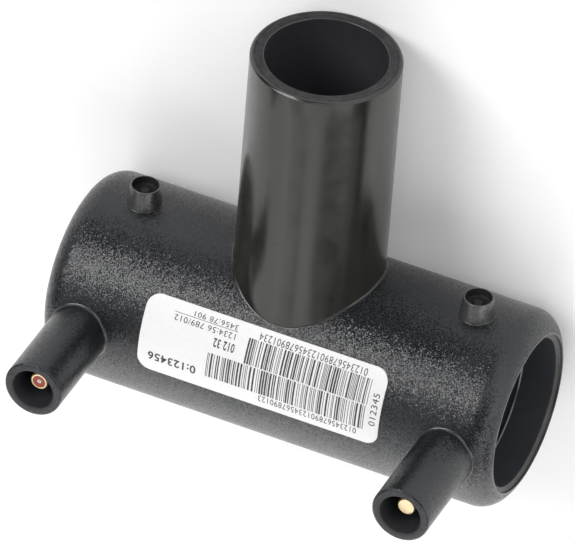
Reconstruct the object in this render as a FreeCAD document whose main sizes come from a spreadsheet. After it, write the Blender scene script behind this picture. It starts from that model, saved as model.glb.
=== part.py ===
import FreeCAD, Part
import math
import os
import Sketcher

# Electrofusion tee for 32 mm polyethylene pipe, in millimetres.
# The pieces are drawn with the run along X, the branch along +Z and the terminals
# along -Y, from the point where the axes of run and branch cross.
# One placement then lays the whole tee on its back, terminals up, branch along +Y.

DRIVING = {
    # pipe and run
    "pipe_diameter": 32.0,
    "socket_clearance": 0.4,
    "run_wall": 5.6,
    "run_length": 103.5,
    "shoulder_radius": 5.4,
    "shoulder_steps": 5,
    # flow path
    "entry_step": 0.2,
    "entry_depth": 10.65,
    "mouth_chamfer": 1.0,
    "socket_depth": 37.85,
    "stop_step": 3.2,
    "stop_bevel": 0.5,
    # branch
    "branch_wall": 3.0,
    "branch_length": 52.7,
    "branch_edge": 0.4,
    "branch_root": 0.4,
    "neck_height": 3.2,
    "neck_flare": 0.3,
    # terminal shrouds
    "terminal_inset": 9.55,
    "shroud_diameter": 12.9,
    "shroud_wall": 1.85,
    "shroud_height": 21.9,
    "shroud_depth": 13.5,
    "shroud_edge": 0.4,
    # terminal pins
    "pin_diameter": 4.0,
    "pin_recess": 3.1,
    "pin_edge": 0.25,
    "pin_root_gap": 0.8,
    "flange_step": 1.0,
    "flange_width": 1.2,
    # resistor in the left pin
    "insert_diameter": 2.9,
    "insert_depth": 4.0,
    "insert_recess": 0.1,
    "contact_diameter": 0.9,
    "contact_depth": 2.0,
    "contact_hole": 0.3,
    "contact_hole_depth": 1.0,
    # fusion indicators
    "indicator_inset": 13.35,
    "boss_height": 4.2,
    "boss_base": 7.7,
    "boss_top": 6.4,
    "boss_sink": 3.0,
    "recess_wall": 0.4,
    "recess_depth": 2.0,
    "indicator_diameter": 2.4,
    "indicator_gap": 0.1,
    "indicator_rise": 0.7,
    "indicator_floor": 1.2,
    "indicator_dome": 0.3,
    # heating wire
    "wire_side": 0.5,
    "wire_cover": 0.2,
    "coil_pitch": 2.4,
    "coil_turns": 5,
    "coil_sides": 16,
    "coil_setback": 1.4,
    # label
    "label_length": 55.4,
    "label_width": 18.0,
    "label_shift": 0.6,
    "label_turn": 15.1,
    "label_thickness": 0.12,
    "label_corner": 3.0,
}

V = FreeCAD.Vector
doc = FreeCAD.newDocument("ElectrofusionTee")
sheet = doc.addObject("Spreadsheet::Sheet", "Sizes")
for row, (alias, number) in enumerate(DRIVING.items(), start=1):
    sheet.set(f"A{row}", alias)
    sheet.set(f"B{row}", str(number))
    sheet.setAlias(f"B{row}", alias)
doc.recompute()


class Size:
    """A length that carries its number and the formula that binds it to the sheet."""

    def __init__(self, value, formula):
        self.value = float(value)
        self.formula = formula

    def __add__(self, other):
        return Size(self.value + other.value, f"({self.formula} + {other.formula})")

    def __sub__(self, other):
        return Size(self.value - other.value, f"({self.formula} - {other.formula})")

    def __mul__(self, number):
        return Size(self.value * number, f"({self.formula} * {number})")

    def __truediv__(self, number):
        return Size(self.value / number, f"({self.formula} / {number})")

    def __neg__(self):
        return self * -1


def size(alias):
    return Size(sheet.get(alias), f"Sizes.{alias}")


ZERO = Size(0, "0")

# Places that several pieces share, all worked out from the sheet.
half_run = size("run_length") / 2
pipe_radius = size("pipe_diameter") / 2
socket_radius = pipe_radius + size("socket_clearance") / 2
entry_radius = socket_radius + size("entry_step")
passage_radius = socket_radius - size("stop_step")
mouth_radius = entry_radius + size("mouth_chamfer")
run_radius = socket_radius + size("run_wall")
branch_top = run_radius + size("branch_length")
terminal_x = half_run - size("terminal_inset")
shroud_tip = run_radius + size("shroud_height")
cavity_floor = shroud_tip - size("shroud_depth")
pin_radius = size("pin_diameter") / 2
pin_tip = shroud_tip - size("pin_recess")
insert_foot = pin_tip - size("insert_depth")
insert_top = pin_tip - size("insert_recess")
contact_foot = insert_top - size("contact_depth")
indicator_x = half_run - size("indicator_inset")
boss_crown = run_radius + size("boss_height")
wire_radius = entry_radius + size("wire_cover") + size("wire_side") / 2
wire_crest = wire_radius + size("wire_side") / 2
pin_root = wire_crest + size("pin_root_gap")
indicator_foot = wire_crest + size("indicator_floor")
indicator_crown = boss_crown - size("recess_depth") + size("indicator_rise")
coil_outer = half_run - size("entry_depth") - size("coil_setback")


def rest_placement():
    """Lay the tee on its back: the branch dips until its bevelled rim meets the floor."""
    edge = size("branch_edge").value
    radius, reach = pipe_radius.value, branch_top.value
    touching = reach - edge
    dip = (math.asin(run_radius.value / math.hypot(touching, radius))
           - math.atan(radius / touching))
    far_side = reach * math.cos(dip) + (radius - edge) * math.sin(dip)
    turn = FreeCAD.Rotation(V(1, 0, 0), -90 - math.degrees(dip))
    return FreeCAD.Placement(V(0, (run_radius.value - far_side) / 2, run_radius.value), turn)


REST = rest_placement()


def new_body(name):
    body = doc.addObject("PartDesign::Body", name)
    body.Label = name
    return body


def sketch_on(body, name, role, lift=ZERO):
    """Sketch on one of the body's own planes, lifted along the plane's normal."""
    sketch = body.newObject("Sketcher::SketchObject", name)
    plane = [item for item in body.Origin.OriginFeatures if item.Role == role][0]
    sketch.AttachmentSupport = [(plane, "")]
    sketch.MapMode = "FlatFace"
    sketch.AttachmentOffset = FreeCAD.Placement(V(0, 0, lift.value), FreeCAD.Rotation())
    sketch.setExpression("AttachmentOffset.Base.z", lift.formula)
    return sketch


def bind(sketch, constraint, length):
    index = sketch.addConstraint(constraint)
    sketch.setExpression(f"Constraints[{index}]", length.formula)


def hold(sketch, line, point, across, up):
    """Hold one point of the sketch at its two distances from the origin."""
    bind(sketch, Sketcher.Constraint("DistanceX", -1, 1, line, point, across.value), across)
    bind(sketch, Sketcher.Constraint("DistanceY", -1, 1, line, point, up.value), up)


def add_circle(sketch, across, up, radius):
    centre = V(across.value, up.value, 0)
    circle = sketch.addGeometry(Part.Circle(centre, V(0, 0, 1), radius.value), False)
    bind(sketch, Sketcher.Constraint("Radius", circle, radius.value), radius)
    hold(sketch, circle, 3, across, up)


def add_outline(sketch, corners):
    """Closed outline of straight lines through the corners."""
    points = [V(across.value, up.value, 0) for across, up in corners]
    lines = [sketch.addGeometry(Part.LineSegment(start, end), False)
             for start, end in zip(points, points[1:] + points[:1])]
    for line, following in zip(lines, lines[1:] + lines[:1]):
        sketch.addConstraint(Sketcher.Constraint("Coincident", line, 2, following, 1))
    for line, (across, up) in zip(lines, corners):
        hold(sketch, line, 1, across, up)


def pad(body, name, sketch, length, both_ways=False):
    feature = body.newObject("PartDesign::Pad", name)
    feature.Profile = sketch
    feature.Midplane = both_ways
    feature.setExpression("Length", length.formula)
    doc.recompute()
    return feature


def pocket(body, name, sketch, depth):
    """Cut against the sketch's normal, and make sure that something was cut."""
    before = body.Shape.Volume
    feature = body.newObject("PartDesign::Pocket", name)
    feature.Profile = sketch
    feature.setExpression("Length", depth.formula)
    doc.recompute()
    require_less(name, body.Shape.Volume, before)
    return feature


def revolve(body, name, corners, kind="Revolution"):
    """Turn an outline in the XZ plane once about X, to add or (as a Groove) to cut."""
    before = body.Shape.Volume if kind == "Groove" else math.inf
    sketch = sketch_on(body, name + "_outline", "XZ_Plane")
    add_outline(sketch, corners)
    feature = body.newObject(f"PartDesign::{kind}", name)
    feature.Profile = sketch
    feature.ReferenceAxis = (sketch, ["H_Axis"])
    feature.Angle = 360
    doc.recompute()
    require_less(name, body.Shape.Volume, before)
    return feature


def require_less(name, volume, before):
    if volume >= before:
        raise RuntimeError(f"{name} cuts nothing")


def edges_where(feature, test):
    """Names of the edges on which the start, the end and two spots between pass the test."""
    names = []
    for number, edge in enumerate(feature.Shape.Edges, start=1):
        first, last = edge.ParameterRange
        spots = [edge.valueAt(first + (last - first) * share) for share in (0, 0.37, 0.5, 1)]
        if all(test(spot) for spot in spots):
            names.append(f"Edge{number}")
    return names


def near(one, other):
    return abs(one - other) < 0.001


def dress(body, kind, name, base, edges, length):
    """Fillet or chamfer of one size on the given edges."""
    feature = body.newObject(f"PartDesign::{kind}", name)
    feature.Base = (base, edges)
    feature.setExpression("Radius" if kind == "Fillet" else "Size", length.formula)
    doc.recompute()
    return feature


def moulding():
    """Black polyethylene in one piece: run, branch, terminal shrouds and indicator bosses."""
    body = new_body("moulding")
    add_run(body)
    add_branch(body)
    add_shrouds(body)
    for side, side_x in (("left", -indicator_x), ("right", indicator_x)):
        add_indicator_boss(body, side, side_x)
    cut_flow_path(body)
    cut_terminal_cavities(body)
    cut_indicator_seats(body)
    body.Placement = REST
    return body


def add_run(body):
    """Run with rounded shoulders, each turned in a few short steps down to its mouth."""
    radius, steps = size("shoulder_radius"), int(size("shoulder_steps").value)
    last = math.acos(1 - (run_radius - mouth_radius).value / radius.value)
    right_end = []
    for step in range(steps + 1):
        angle = last * step / steps
        right_end.append((half_run - radius * (math.sin(last) - math.sin(angle)),
                          run_radius - radius * (1 - math.cos(angle))))
    left_end = [(-across, up) for across, up in right_end]
    revolve(body, "run", [(-half_run, ZERO)] + left_end[::-1] + right_end + [(half_run, ZERO)])


def add_branch(body):
    """Plain spigot on a neck that flares a little, with a small fillet where it leaves the run."""
    sketch = sketch_on(body, "branch_circle", "XY_Plane")
    add_circle(sketch, ZERO, ZERO, pipe_radius)
    pad(body, "branch", sketch, branch_top)
    neck = body.newObject("PartDesign::AdditiveCone", "branch_neck")
    neck.setExpression("Height", (run_radius + size("neck_height")).formula)
    neck.setExpression("Radius1", (pipe_radius + size("neck_flare")).formula)
    neck.setExpression("Radius2", pipe_radius.formula)
    doc.recompute()
    root = edges_where(neck, lambda p: near(math.hypot(p.y, p.z), run_radius.value)
                       and math.hypot(p.x, p.y) < (pipe_radius + size("neck_flare")).value)
    dress(body, "Fillet", "branch_root_fillet", neck, root, size("branch_root"))


def add_shrouds(body):
    sketch = sketch_on(body, "shroud_circles", "XZ_Plane")
    for side_x in (-terminal_x, terminal_x):
        add_circle(sketch, side_x, ZERO, size("shroud_diameter") / 2)
    shrouds = pad(body, "shrouds", sketch, shroud_tip)
    rims = edges_where(shrouds, lambda p: near(p.y, -shroud_tip.value))
    dress(body, "Chamfer", "shroud_rims", shrouds, rims, size("shroud_edge"))


def add_indicator_boss(body, side, side_x):
    """Tapered boss that starts inside the run's wall, so that it leaves no gap."""
    height = size("boss_height") + size("boss_sink")
    slope = "(Sizes.boss_base - Sizes.boss_top) / Sizes.boss_height"
    foot = run_radius - size("boss_sink")
    cone = body.newObject("PartDesign::AdditiveCone", f"indicator_boss_{side}")
    cone.setExpression("Height", height.formula)
    cone.setExpression("Radius1", f"(Sizes.boss_top + {slope} * {height.formula}) / 2")
    cone.setExpression("Radius2", "Sizes.boss_top / 2")
    cone.Placement.Base = V(side_x.value, 0, foot.value)
    for letter, place in (("x", side_x), ("z", foot)):
        cone.setExpression(f"Placement.Base.{letter}", place.formula)
    doc.recompute()


def cut_flow_path(body):
    """Both sockets with their pipe stops, the passage between them and the branch's bore."""
    lip = half_run - size("mouth_chamfer")
    entry = half_run - size("entry_depth")
    stop, bevel = half_run - size("socket_depth"), size("stop_bevel")
    right_end = [
        (half_run, ZERO), (half_run, mouth_radius), (lip, entry_radius), (entry, entry_radius),
        (entry, socket_radius), (stop + bevel, socket_radius), (stop, socket_radius - bevel),
        (stop, passage_radius),
    ]
    left_end = [(-across, up) for across, up in reversed(right_end)]
    revolve(body, "sockets", right_end + left_end, kind="Groove")

    sketch = sketch_on(body, "branch_bore_circle", "XY_Plane", branch_top)
    add_circle(sketch, ZERO, ZERO, pipe_radius - size("branch_wall"))
    bore = pocket(body, "branch_bore", sketch, branch_top)
    rim = edges_where(bore, lambda p: near(p.z, branch_top.value))
    dress(body, "Chamfer", "branch_rim", bore, rim, size("branch_edge"))


def cut_terminal_cavities(body):
    sketch = sketch_on(body, "cavity_circles", "XZ_Plane", shroud_tip)
    for side_x in (-terminal_x, terminal_x):
        add_circle(sketch, side_x, ZERO, size("shroud_diameter") / 2 - size("shroud_wall"))
    pocket(body, "terminal_cavities", sketch, size("shroud_depth"))


def cut_indicator_seats(body):
    """A wide shallow recess in each boss and the blind bore of its indicator below."""
    recesses = sketch_on(body, "recess_circles", "XY_Plane", boss_crown)
    bores = sketch_on(body, "indicator_bore_circles", "XY_Plane", boss_crown)
    bore_radius = (size("indicator_diameter") + size("indicator_gap")) / 2
    for side_x in (-indicator_x, indicator_x):
        add_circle(recesses, side_x, ZERO, size("boss_top") / 2 - size("recess_wall"))
        add_circle(bores, side_x, ZERO, bore_radius)
    pocket(body, "indicator_recesses", recesses, size("recess_depth"))
    pocket(body, "indicator_bores", bores, boss_crown - indicator_foot)


def turned_piece(name, corners, place):
    """Piece turned about its own X axis, whose distances count from the tee's middle."""
    body = new_body(name)
    revolve(body, name + "_turning", corners)
    body.Placement = REST.multiply(place)
    return body


def at_terminal(side_x):
    return FreeCAD.Placement(V(side_x.value, 0, 0), FreeCAD.Rotation(V(0, 0, 1), -90))


def at_indicator(side_x):
    upward = FreeCAD.Rotation(V(0, 1, 0), -90)
    return FreeCAD.Placement(V(side_x.value, 0, 0), upward)


def pin_outside():
    """Half section of a terminal pin from its root to its bevelled tip.

    The flange is sunk flush with the floor of the cavity.
    """
    flange_radius = pin_radius + size("flange_step")
    flange_foot = cavity_floor - size("flange_width")
    edge = size("pin_edge")
    return [
        (pin_root, ZERO), (pin_root, pin_radius), (flange_foot, pin_radius),
        (flange_foot, flange_radius), (cavity_floor, flange_radius),
        (cavity_floor, pin_radius + edge), (cavity_floor + edge, pin_radius),
        (pin_tip - edge, pin_radius), (pin_tip, pin_radius - edge),
    ]


def terminal_pins():
    """Solid brass pin on the right; the left one is bored for the resistor's insert."""
    insert_radius = size("insert_diameter") / 2
    blind_bore = [(pin_tip, insert_radius), (insert_foot, insert_radius), (insert_foot, ZERO)]
    return [
        turned_piece("terminal_pin_left", pin_outside() + blind_bore, at_terminal(-terminal_x)),
        turned_piece("terminal_pin_right", pin_outside() + [(pin_tip, ZERO)],
                     at_terminal(terminal_x)),
    ]


def resistor_pieces():
    """Insulating insert in the left pin, and the small contact sleeve in its middle."""
    insert_radius, contact_radius = size("insert_diameter") / 2, size("contact_diameter") / 2
    hole_radius, hole_foot = size("contact_hole") / 2, insert_top - size("contact_hole_depth")
    insert = [
        (insert_foot, ZERO), (insert_foot, insert_radius), (insert_top, insert_radius),
        (insert_top, contact_radius), (contact_foot, contact_radius), (contact_foot, ZERO),
    ]
    contact = [
        (contact_foot, ZERO), (contact_foot, contact_radius), (insert_top, contact_radius),
        (insert_top, hole_radius), (hole_foot, hole_radius), (hole_foot, ZERO),
    ]
    return [
        turned_piece("resistor_insert", insert, at_terminal(-terminal_x)),
        turned_piece("resistor_contact", contact, at_terminal(-terminal_x)),
    ]


def indicator_pins():
    """Loose plugs over the fusion zones, each with a bevelled crown."""
    radius, dome = size("indicator_diameter") / 2, size("indicator_dome")
    corners = [
        (indicator_foot, ZERO), (indicator_foot, radius), (indicator_crown - dome, radius),
        (indicator_crown, radius - dome), (indicator_crown, ZERO),
    ]
    return [
        turned_piece("indicator_pin_left", corners, at_indicator(-indicator_x)),
        turned_piece("indicator_pin_right", corners, at_indicator(indicator_x)),
    ]


def wire_section(turn, start_x):
    """Corners of the square wire after so many turns about X, from the terminals' side on."""
    half = size("wire_side").value / 2
    centre_x = start_x + size("coil_pitch").value * turn
    angle = 2 * math.pi * turn
    corners = []
    for out, along in ((-half, -half), (half, -half), (half, half), (-half, half)):
        radius = wire_radius.value + out
        corners.append(V(centre_x + along, -radius * math.cos(angle), radius * math.sin(angle)))
    return corners


def winding(start_x):
    """Wire wound about X in short straight steps, beginning and ending on the same side."""
    sides = int(size("coil_sides").value)
    steps = sides * int(size("coil_turns").value)
    sections = [wire_section(step / sides, start_x) for step in range(steps + 1)]
    faces = [face_through(sections[0]), face_through(sections[-1])]
    for one, other in zip(sections, sections[1:]):
        for i, j in ((0, 1), (1, 2), (2, 3), (3, 0)):
            faces.append(face_through([one[i], one[j], other[j]]))
            faces.append(face_through([one[i], other[j], other[i]]))
    return Part.Solid(Part.Shell(faces))


def face_through(corners):
    return Part.Face(Part.makePolygon(corners + corners[:1]))


def straight_wire(start_x, end_x):
    """Stretch of the wire along the run, on the terminals' side."""
    side = size("wire_side").value
    corner = V(start_x - side / 2, -wire_crest.value, -side / 2)
    return Part.makeBox(end_x - start_x + side, side, side, corner)


def heating_wire():
    """One resistance wire: a winding in each socket, the bridge between and two leads."""
    side = size("wire_side").value
    outer, pin_x = coil_outer.value, terminal_x.value
    inner = outer - size("coil_pitch").value * int(size("coil_turns").value)
    pieces = [winding(inner), straight_wire(-inner, inner), straight_wire(outer, pin_x),
              straight_wire(-pin_x, -outer)]
    for end_x in (-pin_x, pin_x):
        foot = V(end_x - side / 2, -pin_root.value, -side / 2)
        pieces.append(Part.makeBox(side, pin_root.value - wire_crest.value + side, side, foot))
    wire = doc.addObject("Part::Feature", "heating_wire")
    wire.Shape = winding(-outer).fuse(pieces).removeSplitter()
    wire.Placement = REST
    return wire


def label():
    """Adhesive label that follows the run's curve, with rounded corners."""
    width, thickness = size("label_width"), size("label_thickness")
    half_chord = Size(run_radius.value * math.sin(width.value / run_radius.value / 2),
                      f"{run_radius.formula} * sin({width.formula} / {run_radius.formula} * 90 / pi)")
    left = -size("label_shift") - size("label_length") / 2
    right = left + size("label_length")
    face = run_radius + thickness
    body = new_body("label")
    sketch = sketch_on(body, "label_outline", "XY_Plane")
    add_outline(sketch, [(left, -half_chord), (right, -half_chord), (right, half_chord),
                         (left, half_chord)])
    block = pad(body, "label_block", sketch, face)
    uprights = edges_where(block, lambda p: near(abs(p.y), half_chord.value)
                           and (near(p.x, left.value) or near(p.x, right.value)))
    dress(body, "Fillet", "label_corners", block, uprights, size("label_corner"))
    for name, low, high in (("label_inside", ZERO, run_radius),
                            ("label_outside", face, face + width)):
        revolve(body, name, [(left, low), (right, low), (right, high), (left, high)],
                kind="Groove")
    turn = FreeCAD.Rotation(V(1, 0, 0), 90 - size("label_turn").value)
    body.Placement = REST.multiply(FreeCAD.Placement(V(), turn))
    return body


def tee_body(solid, fittings):
    """The moulding with the space of everything that is moulded into it."""
    space = doc.addObject("Part::Compound", "moulded_in")
    space.Links = fittings
    body = doc.addObject("Part::Cut", "tee_body")
    body.Base = solid
    body.Tool = space
    doc.recompute()
    return body


def check_document():
    """Stop on any object that failed to build."""
    for item in doc.Objects:
        if "Invalid" in item.State or "Error" in item.State:
            raise RuntimeError(f"{item.Name} did not build: {item.State}")


def export(pieces):
    os.makedirs("parts", exist_ok=True)
    for piece in pieces:
        shape = piece.Shape
        if shape.isNull() or not shape.isValid() or not shape.Solids:
            raise RuntimeError(f"{piece.Label} has no valid solid")
        shape.exportStep(os.path.join("parts", piece.Label + ".step"))
        print(piece.Label, "volume", round(shape.Volume, 1))


solid = moulding()
wire = heating_wire()
pins = terminal_pins()
pieces = [tee_body(solid, pins + [wire]), wire, *pins, *resistor_pieces(), *indicator_pins(),
          label()]
doc.recompute()
check_document()
export(pieces)
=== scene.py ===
import math

import bmesh
import bpy
import numpy as np
from mathutils import Matrix, Vector


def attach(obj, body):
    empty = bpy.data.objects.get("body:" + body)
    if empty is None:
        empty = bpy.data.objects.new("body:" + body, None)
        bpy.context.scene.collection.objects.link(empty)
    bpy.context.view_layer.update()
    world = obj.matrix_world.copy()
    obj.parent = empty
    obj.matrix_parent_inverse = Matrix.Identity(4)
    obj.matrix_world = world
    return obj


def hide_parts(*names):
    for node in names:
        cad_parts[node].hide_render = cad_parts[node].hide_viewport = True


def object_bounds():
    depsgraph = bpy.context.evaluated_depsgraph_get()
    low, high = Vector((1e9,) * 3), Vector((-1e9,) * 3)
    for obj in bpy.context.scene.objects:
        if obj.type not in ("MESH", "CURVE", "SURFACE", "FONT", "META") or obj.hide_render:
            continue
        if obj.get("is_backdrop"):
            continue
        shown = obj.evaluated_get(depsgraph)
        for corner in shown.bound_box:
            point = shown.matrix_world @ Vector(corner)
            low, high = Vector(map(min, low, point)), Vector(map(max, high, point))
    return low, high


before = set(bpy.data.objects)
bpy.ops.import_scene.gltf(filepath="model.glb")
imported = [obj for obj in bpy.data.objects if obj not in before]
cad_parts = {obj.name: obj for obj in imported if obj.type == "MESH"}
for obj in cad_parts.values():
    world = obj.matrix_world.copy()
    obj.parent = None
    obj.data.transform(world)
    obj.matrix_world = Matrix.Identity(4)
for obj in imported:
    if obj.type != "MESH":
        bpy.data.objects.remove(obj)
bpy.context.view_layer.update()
print("frame loaded")

# The tee is drawn in millimetres with the run along X, the branch along +Z and the
# terminals along -Y. toRow then lays it on its back in the row's frame, in metres.
tee = {
    "runRadius": 21.8,
    "halfRun": 51.75,
    "pipeRadius": 16.0,
    "branchTop": 74.5,
    "branchEdge": 0.4,
    "terminalPlace": 42.2,
}


def restingDip():
    # angle by which the branch drops until its bevelled rim meets the floor
    touching = tee["branchTop"] - tee["branchEdge"]
    return (math.asin(tee["runRadius"] / math.hypot(touching, tee["pipeRadius"]))
            - math.atan(tee["pipeRadius"] / touching))


dip = restingDip()
farSide = (tee["branchTop"] * math.cos(dip)
           + (tee["pipeRadius"] - tee["branchEdge"]) * math.sin(dip))
layDown = np.array([[1, 0, 0],
                    [0, -math.sin(dip), math.cos(dip)],
                    [0, -math.cos(dip), -math.sin(dip)]])  # turns tee axes into row axes
restingPlace = np.array([0, (tee["runRadius"] - farSide) / 2, tee["runRadius"]])


def toRow(points):
    # turn by the dip, move to the resting place, millimetres to metres
    return (np.asarray(points, float) @ layDown.T + restingPlace) / 1000


def rowDirection(x, y, z):
    return Vector(layDown @ np.array([x, y, z], float)).normalized()


def weave(grids):
    # every grid of points becomes four-sided cells; points that coincide are joined, so a
    # closed row or a pole closes, and cells that lose a corner there become triangles
    points, cells, start = [], [], 0
    for grid in grids:
        rows, columns = grid.shape[:2]
        number = start + np.arange(rows * columns).reshape(rows, columns)
        cells.append(np.stack([number[:-1, :-1], number[:-1, 1:], number[1:, 1:],
                               number[1:, :-1]], -1).reshape(-1, 4))
        points.append(grid.reshape(-1, 3))
        start += rows * columns
    points, cells = np.concatenate(points), np.concatenate(cells)
    # the small offset keeps points of round coordinates off the rounding's own borders
    _, first, number = np.unique(np.round(points + 0.000137, 3), axis=0,
                                 return_index=True, return_inverse=True)
    points, cells = points[first], number.reshape(-1)[cells]
    kept = cells != np.roll(cells, 1, axis=1)
    whole = cells[kept.all(1)]
    cut = kept.sum(1) == 3
    triangles = cells[cut][kept[cut]].reshape(-1, 3)
    return points, whole.tolist() + triangles.tolist()


def putPiece(name, grids, materialName, sharpAngle=32, replaced=()):
    # one mesh from its grids, smooth but for edges past the sharp angle, placed in the row
    points, faces = weave(grids)
    mesh = bpy.data.meshes.new(name)
    mesh.from_pydata(toRow(points), [], faces)
    mesh.polygons.foreach_set("use_smooth", np.ones(len(faces), bool))
    mesh.set_sharp_from_angle(angle=math.radians(sharpAngle))
    mesh.materials.append(materials[materialName])
    piece = bpy.data.objects.new(name, mesh)
    bpy.context.scene.collection.objects.link(piece)
    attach(piece, "root")
    if replaced:
        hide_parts(*replaced)
    return piece


def roundedProfile(corners, steps=5):
    # corners are (along, out, rounding); a rounding above zero becomes a circular arc that
    # touches both straight sides
    made = []
    for i, (along, out, rounding) in enumerate(corners):
        here = np.array([along, out], float)
        if rounding <= 0 or i in (0, len(corners) - 1):
            made.append(here[None])
            continue
        back = np.array(corners[i - 1][:2], float) - here
        ahead = np.array(corners[i + 1][:2], float) - here
        back, ahead = back / np.linalg.norm(back), ahead / np.linalg.norm(ahead)
        half = math.acos(np.clip(back @ ahead, -1, 1)) / 2
        reach = rounding / math.tan(half)
        middle = (back + ahead) / np.linalg.norm(back + ahead)
        centre = here + middle * rounding / math.sin(half)
        start, end = here + back * reach - centre, here + ahead * reach - centre
        sweep = math.pi - 2 * half
        share = np.linspace(0, 1, steps + 1)[:, None]
        made.append(centre + (np.sin((1 - share) * sweep) * start
                              + np.sin(share * sweep) * end) / math.sin(sweep))
    return np.concatenate(made)


def blendRows(one, other, count, skipFirst=False):
    # straight rows between two rows of points
    share = np.linspace(0, 1, count)[:, None, None]
    rows = one[None] * (1 - share) + other[None] * share
    return rows[1:] if skipFirst else rows


def facing(grid, outward):
    # turns the grid over if its cells look away from the given outward vectors
    across = grid[:-1, 1:] - grid[:-1, :-1]
    down = grid[1:, :-1] - grid[:-1, :-1]
    normal = np.cross(across, down)
    wanted = outward(grid[:-1, :-1])
    return grid if (normal * wanted).sum() > 0 else grid[:, ::-1]


def fromAxisX(points):
    return points * np.array([0, 1, 1])


def toAxisX(points):
    return -fromAxisX(points)


materials = {}  # every material by its name


def newMaterial(name):
    # an empty plastic shader, with the piece's own coordinates in metres
    material = bpy.data.materials.new(name)
    material.use_nodes = True
    tree = material.node_tree
    shader = tree.nodes["Principled BSDF"]
    place = tree.nodes.new("ShaderNodeTexCoord")
    materials[name] = material
    return tree, shader, place.outputs["Object"]


def addNode(tree, kind, inputs=(), **settings):
    # a node with its settings; an input is linked if it is a socket and set if it is a value
    node = tree.nodes.new(kind)
    for key, value in settings.items():
        setattr(node, key, value)
    for key, value in dict(inputs).items():
        if isinstance(value, bpy.types.NodeSocket):
            tree.links.new(value, node.inputs[key])
        else:
            node.inputs[key].default_value = value
    return node


def noiseOf(tree, place, scale, detail=2.0, roughness=0.5):
    return addNode(tree, "ShaderNodeTexNoise", {"Vector": place, "Scale": scale, "Detail": detail,
                                                "Roughness": roughness}).outputs["Fac"]


def ringsOf(tree, out, scale, detail):
    # noise along one length, so it makes rings where the length is a distance from an axis
    return addNode(tree, "ShaderNodeTexNoise", {"W": out, "Scale": scale, "Detail": detail},
                   noise_dimensions="1D").outputs["Fac"]


def rangeOf(tree, value, low, high, toLow, toHigh):
    return addNode(tree, "ShaderNodeMapRange", {"Value": value, "From Min": low, "From Max": high,
                                                "To Min": toLow, "To Max": toHigh}
                   ).outputs["Result"]


def mathOf(tree, operation, *values):
    return addNode(tree, "ShaderNodeMath", enumerate(values), operation=operation).outputs[0]


def vectorOf(tree, operation, *values, result="Vector"):
    return addNode(tree, "ShaderNodeVectorMath", enumerate(values),
                   operation=operation).outputs[result]


def scaled(tree, vector, factor):
    return addNode(tree, "ShaderNodeVectorMath", {0: vector, "Scale": factor},
                   operation="SCALE").outputs["Vector"]


def coordinateOf(tree, place, letter):
    return addNode(tree, "ShaderNodeSeparateXYZ", {0: place}).outputs[letter]


def paint(tree, shader, share, one, other):
    # base colour between one and other
    ramp = addNode(tree, "ShaderNodeValToRGB", {"Fac": share})
    ramp.color_ramp.elements[0].color = (*one, 1)
    ramp.color_ramp.elements[1].color = (*other, 1)
    tree.links.new(ramp.outputs["Color"], shader.inputs["Base Color"])


def bumpOf(tree, height, strength, distance, normal=None):
    inputs = {"Height": height, "Strength": strength, "Distance": distance}
    if normal is not None:
        inputs["Normal"] = normal
    return addNode(tree, "ShaderNodeBump", inputs).outputs["Normal"]


def leanNormal(tree, shader, lean):
    # the surface's own normal plus the lean, made one long again
    plain = addNode(tree, "ShaderNodeNewGeometry").outputs["Normal"]
    leaning = vectorOf(tree, "ADD", lean, plain)
    tree.links.new(vectorOf(tree, "NORMALIZE", leaning), shader.inputs["Normal"])


def awayFromAxis(tree, place, centre, axis):
    # the part of (place - centre) that is square to the axis, and its length, in metres
    moved = vectorOf(tree, "SUBTRACT", place, centre)
    along = vectorOf(tree, "DOT_PRODUCT", moved, axis, result="Value")
    off = vectorOf(tree, "SUBTRACT", moved, scaled(tree, axis, along))
    return off, vectorOf(tree, "LENGTH", off, result="Value")


grainedBlack = {
    "dark": (0.0036, 0.0048, 0.0066),
    "light": (0.0105, 0.0126, 0.0160),
    "grainScale": 5600.0,  # cells of under a fifth of a millimetre
    "tilt": 0.39,
    "broadScale": 90.0,
    "roughLow": 0.22,
    "roughHigh": 0.30,
    "specular": 0.58,
}


def makeGrainedBlack(name, look):
    # eroded mould surface: small cells, each a facet tilted its own way, so the grain shows
    # where a light is mirrored and vanishes where all around is even
    tree, shader, place = newMaterial(name)
    cells = addNode(tree, "ShaderNodeTexVoronoi", {"Vector": place, "Scale": look["grainScale"]})
    broad = noiseOf(tree, place, look["broadScale"], 3.0, 0.6)
    paint(tree, shader, cells.outputs["Distance"], look["dark"], look["light"])
    tree.links.new(rangeOf(tree, broad, 0.35, 0.65, look["roughLow"], look["roughHigh"]),
                   shader.inputs["Roughness"])
    facet = vectorOf(tree, "SUBTRACT", cells.outputs["Color"], (0.5, 0.5, 0.5))
    leanNormal(tree, shader, scaled(tree, facet, look["tilt"]))
    shader.inputs["Specular IOR Level"].default_value = look["specular"]


smoothBlack = {
    "dark": (0.0136, 0.0130, 0.0104),
    "light": (0.0196, 0.0188, 0.0154),
    "waveScale": 45.0,
    "waveHeight": 0.00006,
    "cloudScale": 260.0,
    "dustScale": 330.0,
    "dustSize": (0.03, 0.07),  # share of a cell that a speck fills, and where it has faded
    "roughLow": 0.16,
    "roughHigh": 0.26,
    "specular": 0.64,
}
crestBlack = {**smoothBlack, "dark": (0.020, 0.020, 0.021), "light": (0.045, 0.045, 0.046)}
# painted highlight: the entry step's black is paler, standing in for the bright line of light
# along the step
paintedHighlightBlack = {**smoothBlack, "dark": (0.060, 0.064, 0.062), "light": (0.105, 0.110, 0.107)}


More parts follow.
